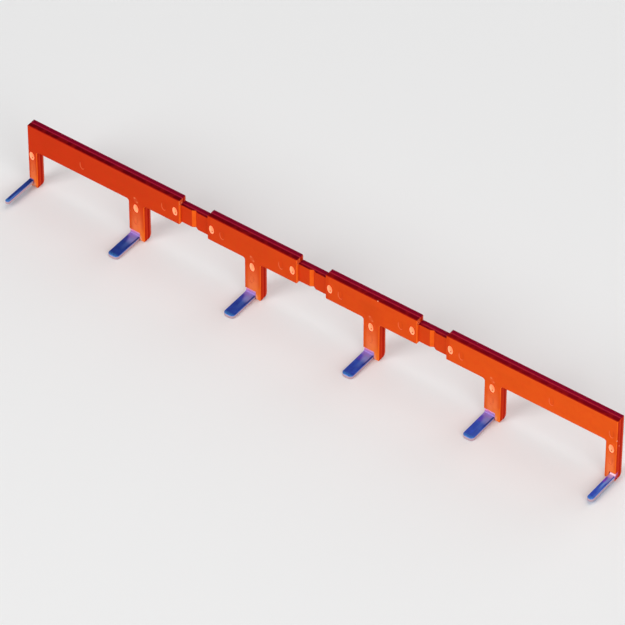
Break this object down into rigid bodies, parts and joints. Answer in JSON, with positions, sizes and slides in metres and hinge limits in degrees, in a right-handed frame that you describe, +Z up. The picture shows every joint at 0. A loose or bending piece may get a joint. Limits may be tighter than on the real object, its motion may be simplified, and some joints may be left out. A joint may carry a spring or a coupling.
{
  "type": "terminal block jumper bar",
  "caption": "Insulated jumper bar for terminal blocks: a slim moulded bar with necks and downward legs, and at the foot of each leg a flat contact blade that points forward.",
  "frame": {"origin": "middle of the bounding box of the whole part in X and Y, at the resting plane under the legs", "axes": "+X along the bar to the end with the wider blade foot, +Y to the rear cover, away from the blades, +Z up from the legs to the bar"},
  "size_m": [0.1336, 0.0098, 0.015],
  "materials": {
    "front_shell": "satin moulded plastic, orange red",
    "rear_shell": "satin moulded plastic, red to maroon",
    "contact_metal": "smooth stamped metal, deep blue as shown"
  },
  "bodies": {
    "root": {"front_cover": "front_shell", "rear_cover": "rear_shell", "contact_comb": "contact_metal"}
  },
  "joints": []
}
